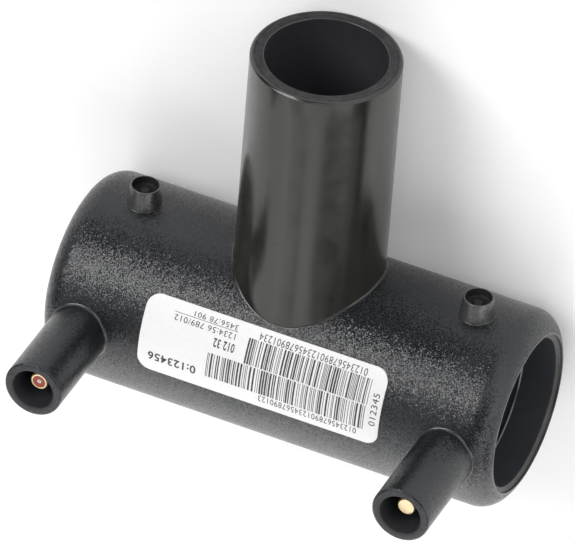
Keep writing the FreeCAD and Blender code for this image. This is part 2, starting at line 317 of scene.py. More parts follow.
def makeSmoothBlack(name, look):
    # polished mould surface: slow waves, faint flow marks and a few specks of dust
    tree, shader, place = newMaterial(name)
    slow = noiseOf(tree, place, look["waveScale"])
    cloudy = noiseOf(tree, place, look["cloudScale"], 4.0, 0.6)
    dust = addNode(tree, "ShaderNodeTexVoronoi", {"Vector": place, "Scale": look["dustScale"]})
    speck = rangeOf(tree, dust.outputs["Distance"], *look["dustSize"], 1.0, 0.0)
    paint(tree, shader, cloudy, look["dark"], look["light"])
    gloss = rangeOf(tree, cloudy, 0.3, 0.7, look["roughLow"], look["roughHigh"])
    tree.links.new(mathOf(tree, "MAXIMUM", gloss, speck), shader.inputs["Roughness"])
    tree.links.new(bumpOf(tree, slow, 0.5, look["waveHeight"]), shader.inputs["Normal"])
    shader.inputs["Specular IOR Level"].default_value = look["specular"]


turnedBlack = {
    "dark": (0.020, 0.020, 0.0215),
    "light": (0.070, 0.070, 0.074),
    "ringScale": 1700.0,
    "leanLow": -0.05,  # the feed marks' slope towards the axis, least and most
    "leanHigh": 0.75,
    "patchScale": 700.0,
    "roughness": 0.5,
    "specular": 0.1,
}
bevelBlack = {
    "dark": (0.024, 0.024, 0.025),
    "light": (0.055, 0.055, 0.056),
    "ringScale": 1500.0,
    "leanLow": -0.06,
    "leanHigh": 0.06,
    "patchScale": 700.0,
    "roughness": 0.36,
    "specular": 0.5,
}


def makeTurnedBlack(name, look, centre, axis):
    # rings left by a facing tool: shade and slope follow noise along the distance from
    # the axis, and the slope leans the normal towards the axis
    tree, shader, place = newMaterial(name)
    off, out = awayFromAxis(tree, place, centre, axis)
    rings = ringsOf(tree, out, look["ringScale"], 3.0)
    patch = noiseOf(tree, place, look["patchScale"], 3.0, 0.6)
    mixed = mathOf(tree, "MULTIPLY", rings, patch)
    paint(tree, shader, rangeOf(tree, mixed, 0.12, 0.42, 0.0, 1.0), look["dark"], look["light"])
    lean = rangeOf(tree, rings, 0.3, 0.7, -look["leanLow"], -look["leanHigh"])
    leanNormal(tree, shader, scaled(tree, vectorOf(tree, "NORMALIZE", off), lean))
    shader.inputs["Roughness"].default_value = look["roughness"]
    shader.inputs["Specular IOR Level"].default_value = look["specular"]


# painted light: boreBlack, windingBlack, calmBlack and branchBoreBlack are paler than the grained
# black outside, standing in for light that hardly reaches into the bores and wells
boreBlack = {
    "dark": (0.033, 0.036, 0.042),
    "light": (0.045, 0.048, 0.055),
    "cloudScale": 400.0,
    "pitch": 2.4,
    "ribHeight": 0.00008,
    "roughness": 0.38,
    "specular": 0.5,
}
windingBlack = {**boreBlack, "dark": (0.018, 0.020, 0.022), "light": (0.028, 0.031, 0.034)}
calmBlack = {**boreBlack, "dark": (0.026, 0.027, 0.031), "light": (0.036, 0.037, 0.042),
             "roughness": 0.5, "specular": 0.3}
# painted light: paintedLightDepth is how deep the branch's bore is painted paler
branchBoreBlack = {**calmBlack, "dark": (0.022, 0.022, 0.026), "light": (0.072, 0.073, 0.082),
                   "paintedLightDepth": 0.030}
# painted shade: the boss wells and their indicator pins are coloured darker than the other bores,
# standing in for the shade in the craters
paintedShadeBlack = {**boreBlack, "dark": (0.010, 0.010, 0.011), "light": (0.022, 0.022, 0.023),
             "roughness": 0.6, "specular": 0.25}


def makeBoreBlack(name, look, ribbed=False):
    # smooth bore; over the winding the wall rises a little along every turn, and the branch's
    # wall is painted paler from its mouth inwards: painted light that lifts the shade deep in its
    # bore
    tree, shader, place = newMaterial(name)
    cloudy = noiseOf(tree, place, look["cloudScale"], 3.0, 0.6)
    shade = cloudy
    # painted light: the branch's bore is painted paler with depth, against the shade deep inside
    if "paintedLightDepth" in look:
        mouth = toRow([0, 0, tee["branchTop"]])[1]
        paintedLight = rangeOf(tree, coordinateOf(tree, place, "Y"), mouth - look["paintedLightDepth"], mouth,
                       0.8, 0.0)
        shade = mathOf(tree, "MULTIPLY_ADD", cloudy, 0.2, paintedLight)
    paint(tree, shader, shade, look["dark"], look["light"])
    shader.inputs["Roughness"].default_value = look["roughness"]
    shader.inputs["Specular IOR Level"].default_value = look["specular"]
    if ribbed:
        turns = mathOf(tree, "MULTIPLY", coordinateOf(tree, place, "X"),
                       2000 * math.pi / look["pitch"])
        height = mathOf(tree, "ADD", mathOf(tree, "SINE", turns), cloudy)
        rise = bumpOf(tree, height, 0.6, look["ribHeight"])
    else:
        rise = bumpOf(tree, cloudy, 0.4, look["ribHeight"] * 0.5)
    tree.links.new(rise, shader.inputs["Normal"])


metalLooks = {
    "turnedBrass": {"colour": (0.86, 0.66, 0.36), "pale": (0.95, 0.80, 0.55), "rough": 0.3},
    "tinnedSteel": {"colour": (0.62, 0.60, 0.57), "pale": (0.80, 0.79, 0.76), "rough": 0.35},
    "drawnWire": {"colour": (0.50, 0.42, 0.36), "pale": (0.62, 0.55, 0.50), "rough": 0.4},
}


def makeMetal(name, look, centre, axis):
    # turned metal: fine rings from the tool, tarnish in soft patches
    tree, shader, place = newMaterial(name)
    rings = ringsOf(tree, awayFromAxis(tree, place, centre, axis)[1], 9000.0, 2.0)
    patch = noiseOf(tree, place, 900.0, 3.0, 0.6)
    paint(tree, shader, patch, look["colour"], look["pale"])
    tree.links.new(rangeOf(tree, patch, 0.3, 0.7, look["rough"] + 0.1, look["rough"]),
                   shader.inputs["Roughness"])
    tree.links.new(bumpOf(tree, rings, 0.3, 0.00001), shader.inputs["Normal"])
    shader.inputs["Metallic"].default_value = 1.0


redInsertLook = {"dark": (0.30, 0.035, 0.02), "light": (0.50, 0.09, 0.05), "rough": 0.35}


def makeRedInsert(name, look):
    # moulded insert: cloudy red with a faint unevenness
    tree, shader, place = newMaterial(name)
    cloudy = noiseOf(tree, place, 1500.0, 3.0, 0.6)
    paint(tree, shader, cloudy, look["dark"], look["light"])
    tree.links.new(bumpOf(tree, cloudy, 0.3, 0.00002), shader.inputs["Normal"])
    shader.inputs["Roughness"].default_value = look["rough"]


labelLook = {
    "white": (0.87, 0.87, 0.865),
    "shade": (0.83, 0.83, 0.825),
    "fibreScale": 1400.0,
    "rippleScale": 120.0,
    "rough": 0.45,
}


def makeLabelFilm(name, look):
    # coated film: almost even white, faint fibres and a slow ripple
    tree, shader, place = newMaterial(name)
    fibre = noiseOf(tree, place, look["fibreScale"], 4.0, 0.7)
    ripple = noiseOf(tree, place, look["rippleScale"])
    paint(tree, shader, rangeOf(tree, fibre, 0.3, 0.6, 0.0, 1.0), look["shade"], look["white"])
    under = bumpOf(tree, fibre, 0.2, 0.00001)
    tree.links.new(bumpOf(tree, ripple, 0.4, 0.00005, under), shader.inputs["Normal"])
    shader.inputs["Roughness"].default_value = look["rough"]


printLook = {"dark": (0.025, 0.025, 0.028), "worn": (0.10, 0.10, 0.105), "rough": 0.5}


def makePrintInk(name, look):
    # heat print: dark, paler where the head pressed less
    tree, shader, place = newMaterial(name)
    uneven = noiseOf(tree, place, 1100.0, 3.0, 0.7)
    paint(tree, shader, rangeOf(tree, uneven, 0.42, 0.72, 0.0, 1.0), look["dark"], look["worn"])
    shader.inputs["Roughness"].default_value = look["rough"]


branchAxis = rowDirection(0, 0, 1)
runAxis = rowDirection(1, 0, 0)
terminalAxis = rowDirection(0, -1, 0)
teeCentre = Vector(toRow([0, 0, 0]))
makeGrainedBlack("grainedBlack", grainedBlack)
makeGrainedBlack("shroudBlack", {**grainedBlack, "tilt": 0.26})
# painted light: the bosses take a paler copy of the run's grained black, standing in for the
# light on their sides
makeGrainedBlack("bossBlack", {**grainedBlack, "tilt": 0.17, "specular": 1.0,
                               "dark": (0.030, 0.031, 0.031), "light": (0.060, 0.061, 0.061)})
makeSmoothBlack("smoothBlack", smoothBlack)
makeTurnedBlack("turnedBlack", turnedBlack, teeCentre, branchAxis)
makeTurnedBlack("bevelBlack", bevelBlack, teeCentre, runAxis)
makeSmoothBlack("paintedHighlightBlack", paintedHighlightBlack)
makeSmoothBlack("crestBlack", crestBlack)
makeBoreBlack("boreBlack", boreBlack)
makeBoreBlack("windingBore", windingBlack, ribbed=True)
makeBoreBlack("calmBlack", calmBlack)
makeBoreBlack("branchBoreBlack", branchBoreBlack)
makeBoreBlack("paintedShadeBlack", paintedShadeBlack)
pinRight, pinLeft = (Vector(toRow([side * tee["terminalPlace"], 0, 0])) for side in (1, -1))
makeMetal("turnedBrass", metalLooks["turnedBrass"], pinRight, terminalAxis)
makeMetal("turnedBrassLeft", metalLooks["turnedBrass"], pinLeft, terminalAxis)
makeMetal("tinnedSteel", metalLooks["tinnedSteel"], pinLeft, terminalAxis)
makeMetal("drawnWire", metalLooks["drawnWire"], teeCentre, runAxis)
makeRedInsert("redInsert", redInsertLook)
makeLabelFilm("labelFilm", labelLook)
makePrintInk("printInk", printLook)
print("materials made")

# run: outside with its shoulders, ends, sockets and passage
run = {
    "shoulder": 5.4,
    "columns": 192,
    "openingHalfLength": 24.0,  # half of the patch round the branch, along the run
    "openingSteps": 33,  # half of the patch round the branch, in columns
    "rowsAlong": 64,
    "mouthRadius": 17.4,
    "entryRadius": 16.4,
    "socketRadius": 16.2,
    "passageRadius": 13.0,
    "entryDepth": 8.55,
    "mouthChamfer": 1.0,
    "mouthStep": 0.55,
    "crestFoot": 0.56,  # widths of the flat ring round the mouth, beyond the mouth's radius
    "crestOuter": 0.44,
    "crestInner": 0.02,
    "crestFall": 0.16,
    "crestGap": 0.01,  # keeps the ring inside the solid's box
    "lipLength": 0.4,
    "entryStep": 0.28,
    "socketDepth": 37.85,
    "stopBevel": 0.5,
    "rootRadius": 0.5,
    "neckHeight": 3.2,
    "neckFlare": 0.3,
    "branchWall": 3.0,
    "patchRows": 25,
    "patchCrowding": 1.5,  # above one, the patch's rows stand closer at the root
    "middleRows": 16,
    "shoulderRows": 19,
    "windingRows": 24,
    "passageRows": 12,
}
runAngles = np.linspace(-math.pi, math.pi, run["columns"] + 1)  # counted from the branch
# the shoulder's arc turns through this angle until it meets the mouth's bevel
shoulderTurn = math.acos(1 - (tee["runRadius"] - run["mouthRadius"]) / run["shoulder"])
shoulderStart = tee["halfRun"] - run["shoulder"] * math.sin(shoulderTurn)


def onRun(x, angle, radius):
    # point at x on a cylinder about the run's axis
    x, angle = np.broadcast_arrays(x, angle)
    return np.stack([x, radius * np.sin(angle), radius * np.cos(angle)], -1)


def neckRadius(height):
    # branch radius, growing evenly from the neck's top down to the run's axis
    top = tee["runRadius"] + run["neckHeight"]
    return tee["pipeRadius"] + run["neckFlare"] * np.clip(1 - height / top, 0, 1)


def runOffset(x, offset):
    # radius of the run's outside moved outwards, flat along the middle, round at the ends
    past = np.clip(np.abs(x) - shoulderStart, 0, None)
    around = (run["shoulder"] + offset) ** 2 - past ** 2
    return tee["runRadius"] - run["shoulder"] + np.sqrt(np.clip(around, 0, None))


def runNormal(points):
    # outward unit vector of the run's outside near the points
    ring = np.hypot(points[..., 1], points[..., 2])
    inner = tee["runRadius"] - run["shoulder"]
    along = np.clip(np.abs(points[..., 0]) - shoulderStart, 0, None) * np.sign(points[..., 0])
    out = ring - inner
    normal = np.stack([along, out * points[..., 1] / ring, out * points[..., 2] / ring], -1)
    return normal / np.linalg.norm(normal, axis=-1, keepdims=True)


def openingBorder():
    # border of the patch, once round, as run coordinates (x, angle)
    halfX, steps = run["openingHalfLength"], run["openingSteps"]
    halfAngle = 2 * math.pi * steps / run["columns"]
    xs = np.linspace(-halfX, halfX, run["rowsAlong"] + 1)
    angles = np.linspace(-halfAngle, halfAngle, 2 * steps + 1)
    sides = [
        np.stack([np.full(2 * steps, halfX), angles[:-1]], -1),
        np.stack([xs[::-1][:-1], np.full(len(xs) - 1, halfAngle)], -1),
        np.stack([np.full(2 * steps, -halfX), angles[::-1][:-1]], -1),
        np.stack([xs[:-1], np.full(len(xs) - 1, -halfAngle)], -1),
    ]
    border = np.concatenate(sides)
    return np.concatenate([border, border[:1]])


def rootBall(turns, rootRadius):
    # centre of a ball that rolls round the branch's root, touching branch and run
    ring = np.full_like(turns, tee["pipeRadius"] + rootRadius)
    for _ in range(4):
        height = np.sqrt((tee["runRadius"] + rootRadius) ** 2 - (ring * np.sin(turns)) ** 2)
        ring = neckRadius(height) + rootRadius
    return np.stack([ring * np.cos(turns), ring * np.sin(turns), height], -1)


def arcRows(centre, fromPoint, toPoint, count):
    # rows of points on the arcs about the centre from one point to the other
    one, other = fromPoint - centre, toPoint - centre
    lengths = np.linalg.norm(one, axis=-1) * np.linalg.norm(other, axis=-1)
    sweep = np.arccos(np.clip((one * other).sum(-1) / lengths, -1, 1))[None, :, None]
    share = np.linspace(0, 1, count)[:, None, None]
    return centre + (np.sin((1 - share) * sweep) * one
                     + np.sin(share * sweep) * other) / np.sin(sweep)


border = openingBorder()
borderTurns = np.unwrap(np.arctan2(tee["runRadius"] * np.sin(border[:, 1]), border[:, 0]))
rootCentre = rootBall(borderTurns, run["rootRadius"])
rootOnRun = rootCentre - run["rootRadius"] * runNormal(rootCentre)
rootAngle = np.arctan2(rootOnRun[:, 1], rootOnRun[:, 2])
rootCoordinates = np.stack([rootOnRun[:, 0], rootAngle], -1)


def runOutside():
    # patch round the branch, the rest of the middle, and both ends with their shoulders
    halfX, steps = run["openingHalfLength"], run["openingSteps"]
    # straight lines in run coordinates from the root to the border, closer at the root
    share = (np.linspace(0, 1, run["patchRows"]) ** run["patchCrowding"])[:, None, None]
    flat = rootCoordinates[None] * (1 - share) + border[None] * share
    patch = onRun(flat[..., 0], flat[..., 1], tee["runRadius"])
    middle = run["columns"] // 2
    rest = np.concatenate([runAngles[middle + steps:-1],
                           runAngles[:middle - steps + 1] + 2 * math.pi])
    xs = np.linspace(-halfX, halfX, run["rowsAlong"] + 1)
    under = onRun(xs[:, None], rest[None], tee["runRadius"])
    straight = np.linspace(halfX, shoulderStart, run["middleRows"])[:-1]
    bow = np.linspace(0, shoulderTurn, run["shoulderRows"])
    profile = np.concatenate([
        np.stack([straight, np.full_like(straight, tee["runRadius"])], -1),
        np.stack([shoulderStart + run["shoulder"] * np.sin(bow),
                  tee["runRadius"] - run["shoulder"] * (1 - np.cos(bow))], -1),
    ])
    grids = [facing(patch, fromAxisX), facing(under, fromAxisX)]
    for side in (1, -1):
        end = onRun(side * profile[:, :1], runAngles[None], profile[:, 1:])
        grids.append(facing(end, fromAxisX))
    return grids


def sideRing(profile, side):
    # profile of (x, radius) carried round the run's axis, on the side of its sign
    return onRun(side * profile[:, :1], runAngles[None], profile[:, 1:])


def runEnd(side):
    # behind the crest a low inward wall, then the flat bevel down to the socket
    face, lip = tee["halfRun"], tee["halfRun"] - run["mouthChamfer"]
    profile = roundedProfile([
        (face - run["crestGap"], run["mouthRadius"] + run["crestInner"], 0),
        (face - run["mouthStep"], run["mouthRadius"] - 0.05, 0.05),
        (lip, run["entryRadius"], 0.08),
        (lip - run["lipLength"], run["entryRadius"], 0),
    ], 3)
    return facing(sideRing(profile, side), toAxisX)


def mouthCrest(side):
    # flat ring, a hair prouder than the shoulder behind it, round the mouth
    face, out = tee["halfRun"], run["mouthRadius"]
    profile = roundedProfile([
        (face - run["crestFall"], out + run["crestFoot"], 0),
        (face - run["crestGap"], out + run["crestOuter"], 0.05),
        (face - run["crestGap"], out + run["crestInner"], 0),
    ], 3)
    return facing(sideRing(profile, side), lambda p: p * 0 + np.array([side, 0, 0]))


def socketWall(side):
    # from the mouth's bevel past the wider entry to the winding
    lip, entry = tee["halfRun"] - run["mouthChamfer"], tee["halfRun"] - run["entryDepth"]
    profile = np.array([
        [lip - run["lipLength"], run["entryRadius"]],
        [entry + run["entryStep"], run["entryRadius"]],
    ])
    return facing(sideRing(profile, side), toAxisX)


def entryStep(side):
    # slope where the wider entry meets the winding, painted paler as a painted highlight line
    entry = tee["halfRun"] - run["entryDepth"]
    profile = np.array([
        [entry + run["entryStep"], run["entryRadius"]],
        [entry, run["socketRadius"]],
    ])
    return facing(sideRing(profile, side), toAxisX)


def windingWall(side):
    # plain cylinder from the step to the stop's bevel
    entry = tee["halfRun"] - run["entryDepth"]
    stop = tee["halfRun"] - run["socketDepth"]
    along = np.linspace(entry, stop + run["stopBevel"], run["windingRows"])
    profile = np.stack([along, np.full_like(along, run["socketRadius"])], -1)
    return facing(sideRing(profile, side), toAxisX)


def passageWall(side):
    # bevel and face of the pipe stop, then the passage up to the branch's bore, whose
    # opening in the passage is as wide as the cosine of the angle from the branch
    stop = tee["halfRun"] - run["socketDepth"]
    bore = tee["pipeRadius"] - run["branchWall"]
    profile = np.array([
        [stop + run["stopBevel"], run["socketRadius"]],
        [stop, run["socketRadius"] - run["stopBevel"]],
        [stop, run["passageRadius"]],
    ])
    width = bore * np.clip(np.cos(runAngles), 0, None)
    share = np.linspace(0, 1, run["passageRows"])[:, None]
    passage = onRun(side * (stop * (1 - share) + width[None] * share), runAngles[None],
                    run["passageRadius"])
    step = facing(sideRing(profile[:2], side), toAxisX)
    face = facing(sideRing(profile[1:], side), lambda p: p * 0 + np.array([side, 0, 0]))
    return [step, face, facing(passage, toAxisX)]


putPiece("runOutside", runOutside(), "grainedBlack",
         replaced=("tee_body",))
putPiece("mouthBevels", [runEnd(1), runEnd(-1)], "bevelBlack")
putPiece("mouthCrests", [mouthCrest(1), mouthCrest(-1)], "crestBlack")
putPiece("socketEntries", [socketWall(1), socketWall(-1)], "boreBlack")
putPiece("entrySteps", [entryStep(1), entryStep(-1)], "paintedHighlightBlack")
putPiece("socketWalls", [windingWall(1), windingWall(-1)], "windingBore")
putPiece("passage", passageWall(1) + passageWall(-1), "boreBlack")
print("run made")

# branch: root fillet, neck, plain spigot, rim and bore
branch = {
    "rimSoftening": 0.12,
    "rimOnSide": 0.3,  # outer strip of the rim that belongs to the side's surface
    "boreEdge": 0.25,
    "filletRows": 9,
    "neckRows": 6,
    "shaftRows": 10,
    "rimRows": 6,
    "edgeRows": 5,
    "boreRows": 30,
}


def branchRing(out, height):
    # circle about the branch's axis, at one height or at one for every angle
    return np.stack([out * np.cos(borderTurns), out * np.sin(borderTurns),
                     np.broadcast_to(height, borderTurns.shape)], -1)


def branchSide():
    # fillet rolled round the root, straight lines to the neck's top, then shaft and rim edge
    ring = np.hypot(rootCentre[:, 0], rootCentre[:, 1]) - run["rootRadius"]
    rootOnBranch = np.stack([ring * np.cos(borderTurns), ring * np.sin(borderTurns),
                             rootCentre[:, 2]], -1)
    fillet = arcRows(rootCentre, rootOnRun, rootOnBranch, branch["filletRows"])
    neckTop = tee["runRadius"] + run["neckHeight"]
    neck = blendRows(rootOnBranch, branchRing(tee["pipeRadius"], neckTop), branch["neckRows"],
                     True)
    edge, top = tee["branchEdge"], tee["branchTop"]
    profile = roundedProfile([
        (neckTop, tee["pipeRadius"], 0),
        (top - edge, tee["pipeRadius"], branch["rimSoftening"]),
        (top, tee["pipeRadius"] - edge, branch["rimSoftening"]),
        (top, tee["pipeRadius"] - edge - branch["rimOnSide"], 0),
    ], 4)
    rows = np.stack([branchRing(out, along) for along, out in profile])
    shaft = blendRows(rows[0], rows[1], branch["shaftRows"])
    grid = np.concatenate([fillet, neck, shaft[1:], rows[2:]])
    return facing(grid, lambda p: p * np.array([1, 1, 0]))


def branchRim():
    # flat ring between the outer edge and the bore's rounded edge
    top = tee["branchTop"]
    outer = tee["pipeRadius"] - tee["branchEdge"] - branch["rimOnSide"]
    inner = tee["pipeRadius"] - run["branchWall"] + branch["boreEdge"]
    rows = np.stack([branchRing(out, top)
                     for out in np.linspace(outer, inner, branch["rimRows"])])
    return facing(rows, lambda p: p * 0 + np.array([0, 0, 1]))


def branchBore():
    # rounded inner edge, then straight down to the passage's own curve
    top, bore = tee["branchTop"], tee["pipeRadius"] - run["branchWall"]
    bow = np.linspace(0, math.pi / 2, branch["edgeRows"])
    edge = branch["boreEdge"]
    lip = np.stack([branchRing(bore + edge * (1 - math.sin(a)), top - edge * (1 - math.cos(a)))
                    for a in bow])
    foot = branchRing(bore, bore * np.abs(np.cos(borderTurns)))
    wall = blendRows(lip[-1], foot, branch["boreRows"])
    return [facing(grid, lambda p: -p * np.array([1, 1, 0])) for grid in (lip, wall)]


putPiece("branchSide", [branchSide()], "smoothBlack")
putPiece("branchRim", [branchRim()], "turnedBlack")
boreLip, boreWall = branchBore()
putPiece("branchBoreLip", [boreLip], "crestBlack")
putPiece("branchBore", [boreWall], "branchBoreBlack")
print("branch made")

# terminal shrouds
shroud = {
    "radius": 6.45,
    "bore": 4.6,
    "tip": 43.7,
    "floor": 30.2,
    "edge": 0.42,
    "boreEdge": 0.2,
    "rootRadius": 0.6,
    "flange": 3.0,
    "straightTop": 3.0,
    "rimSplit": 0.6,  # inner strip of the rim that belongs to the well's surface
    "floorSoftening": 0.3,
    "sink": 0.02,  # lets the fillet's foot meet the run below its surface
    "columns": 128,
    "filletRows": 8,
    "shaftRows": 12,
}


def shroudGrids(side):
    # fillet on arcs about a ball that rolls round the root, shaft and rim carried round the
    # terminal's axis, and the well inside
    turns = np.linspace(0, 2 * math.pi, shroud["columns"] + 1)
    ballRing = shroud["radius"] + shroud["rootRadius"]
    x = side * tee["terminalPlace"] + ballRing * np.cos(turns)
    z = ballRing * np.sin(turns)
    y = -np.sqrt(runOffset(x, shroud["rootRadius"]) ** 2 - z ** 2)
    centre = np.stack([x, y, z], -1)
    onRunSide = centre - (shroud["rootRadius"] + shroud["sink"]) * runNormal(centre)
    spoke = np.stack([np.cos(turns), np.zeros_like(turns), np.sin(turns)], -1)
    onShroud = centre - shroud["rootRadius"] * spoke
    fillet = arcRows(centre, onRunSide, onShroud, shroud["filletRows"])
    profile = roundedProfile([
        (shroud["tip"] - shroud["straightTop"], shroud["radius"], 0),
        (shroud["tip"], shroud["radius"], shroud["edge"]),
        (shroud["tip"], shroud["bore"] + shroud["rimSplit"], 0),
    ], 5)

    def ring(along, out):
        return np.stack([side * tee["terminalPlace"] + out * np.cos(turns),
                         np.full_like(turns, -along), out * np.sin(turns)], -1)

    rows = np.stack([ring(along, out) for along, out in profile])
    shaft = blendRows(onShroud, rows[0], shroud["shaftRows"])
    outside = np.concatenate([shaft, rows[1:]])
    inside = roundedProfile([
        (shroud["tip"], shroud["bore"] + shroud["rimSplit"], 0),
        (shroud["tip"], shroud["bore"], shroud["boreEdge"]),
        (shroud["floor"], shroud["bore"], shroud["floorSoftening"]),
        (shroud["floor"], shroud["flange"], 0),
    ], 4)
    well = np.stack([ring(along, out) for along, out in inside])
    middle = np.array([side * tee["terminalPlace"], 0, 0])
    return (facing(fillet, lambda p: (p - middle) * np.array([1, 0, 1])),
            facing(outside, lambda p: (p - middle) * np.array([1, 0, 1])),
            facing(well, lambda p: (middle - p) * np.array([1, 0, 1])))


for sideName, side in (("left", -1), ("right", 1)):
    fillet, outside, well = shroudGrids(side)
    putPiece(f"shroudRoot_{sideName}", [fillet], "crestBlack")
    putPiece(f"shroud_{sideName}", [outside], "shroudBlack")
    putPiece(f"shroudWell_{sideName}", [well], "calmBlack")
print("shrouds made")

# indicator bosses
boss = {
    "place": 38.4,
    "height": 4.2,
    "baseRadius": 3.85,
    "topRadius": 3.2,
    "recess": 2.8,
    "recessDepth": 2.0,
    "bore": 1.25,
    "edge": 0.15,
    "rootRadius": 0.15,
    "straightTop": 1.5,
    "lipWidth": 0.12,
    "wellSoftening": 0.6,
    "pinRoom": 2.5,
    "sink": 0.02,
    "columns": 96,
    "filletRows": 7,
    "shaftRows": 6,
}


def bossGrids(side):
    # tapered boss: fillet on arcs about a rolling ball, side and crown carried round its axis,
    # and the well with the pin's bore
    turns = np.linspace(0, 2 * math.pi, boss["columns"] + 1)
    crown = tee["runRadius"] + boss["height"]
    slope = (boss["baseRadius"] - boss["topRadius"]) / boss["height"]
    middle = np.array([side * boss["place"], 0, 0])

    def sideRadius(height):
        return boss["topRadius"] + slope * (crown - height)

    ballRing = np.full_like(turns, boss["baseRadius"] + boss["rootRadius"])
    for _ in range(4):
        x = middle[0] + ballRing * np.cos(turns)
        y = ballRing * np.sin(turns)
        z = np.sqrt(runOffset(x, boss["rootRadius"]) ** 2 - y ** 2)
        ballRing = sideRadius(z) + boss["rootRadius"]
    centre = np.stack([x, y, z], -1)
    onRunSide = centre - (boss["rootRadius"] + boss["sink"]) * runNormal(centre)
    spoke = np.stack([np.cos(turns), np.sin(turns), np.zeros_like(turns)], -1)
    onBoss = centre - boss["rootRadius"] * spoke
    fillet = arcRows(centre, onRunSide, onBoss, boss["filletRows"])

    def ring(along, out):
        return np.stack([middle[0] + out * np.cos(turns), out * np.sin(turns),
                         np.full_like(turns, along)], -1)

    lip = boss["recess"] + boss["lipWidth"]
    straight = crown - boss["straightTop"]
    profile = roundedProfile([
        (straight, sideRadius(straight), 0),
        (crown, boss["topRadius"], boss["edge"]),
        (crown, lip, 0),
    ], 4)
    rows = np.stack([ring(along, out) for along, out in profile])
    shaft = blendRows(onBoss, rows[0], boss["shaftRows"], True)
    outside = np.concatenate([fillet, shaft, rows[1:]])
    seat = crown - boss["recessDepth"]
    inside = roundedProfile([
        (crown, lip, 0),
        (crown, boss["recess"], 0.1),
        (seat, boss["recess"], boss["wellSoftening"]),
        (seat, boss["bore"], 0.1),
        (seat - boss["pinRoom"], boss["bore"], 0),
    ], 4)
    well = np.stack([ring(along, out) for along, out in inside])
    return (facing(outside, lambda p: (p - middle) * np.array([1, 1, 0])),
            facing(well, lambda p: (middle - p) * np.array([1, 1, 0])))


for sideName, side in (("left", -1), ("right", 1)):
    outside, well = bossGrids(side)
    putPiece(f"indicatorBoss_{sideName}", [outside], "bossBlack")
    # the well takes the painted shade of the craters
    putPiece(f"indicatorWell_{sideName}", [well], "paintedShadeBlack")
print("bosses made")

# label print: bars, plain numbers and plain marks, laid on the label's curve
labelPrint = {
    "radius": 21.945,
    "filmRadius": 21.92,  # arc lengths on the label are measured at this radius
    "right": 27.1,  # x where reading starts; the print reads towards -X
    "thinBar": 0.155,
    "barShares": [0.85, 0.85, 1, 1, 1.8, 2.6],
    "gapShares": [1, 1.2, 1.2, 2, 2, 3],
    "cuts": 9,  # strips that each numeral is cut into, less one
    "spacing": 1.1,
    "boldness": 0.02,
    "farAngle": 38.75,  # degrees from the terminals towards the branch, at the lower line
    "bars": [(3.3, 32.1, 2.9, 8.6, 11), (3.5, 40.1, 8.85, 14.6, 12)],
    "numbers": [
        ("0123456789012345678901234", 4.8, 29.6, 1.1, 2.7),
        ("012345678901234567890123", 4.9, 27.4, 14.95, 16.5),
        ("1234:56 789/012", 34.7, 48.7, 3.1, 4.4),
        ("3456:78 901", 34.6, 44.6, 1.2, 2.35),
    ],
    "bold": [("012 32", 34.3, 39.1, 5.3, 7.3), ("0:123456", 42.0, 53.0, 13.15, 15.15)],
    "rule": (34.4, 48.9, 2.55, 2.66),
    "sideNumber": ("012345", 0.85, 2.3, 5.5, 13.0),
}


def onLabel(p, q):
    # reading coordinates in millimetres: p along the line, q up the letters
    angle = math.radians(labelPrint["farAngle"]) - np.asarray(q, float) / labelPrint["filmRadius"]
    radius = labelPrint["radius"]
    return np.stack([labelPrint["right"] - np.asarray(p, float), -radius * np.cos(angle),
                     radius * np.sin(angle)], -1)


def block(left, right, low, high, rows=6):
    # one printed rectangle, bent in a few rows
    p, q = np.meshgrid([left, right], np.linspace(low, high, rows))
    return facing(onLabel(p, q), fromAxisX)


def barRow(left, right, low, high, seed):
    # bars and gaps of one to three thin widths, in an order drawn from a seed
    chance = np.random.default_rng(seed)
    widths = labelPrint["thinBar"] * chance.choice(labelPrint["barShares"], 400)
    gaps = labelPrint["thinBar"] * chance.choice(labelPrint["gapShares"], 400)
    starts = left + np.concatenate([[0], np.cumsum(widths + gaps)[:-1]])
    inside = starts + widths < right
    return [block(a, a + w, low, high) for a, w in zip(starts[inside], widths[inside])]


putPiece("labelBars", [g for row in labelPrint["bars"] for g in barRow(*row)], "printInk")
putPiece("labelRule", [block(*labelPrint["rule"], 2)], "printInk")


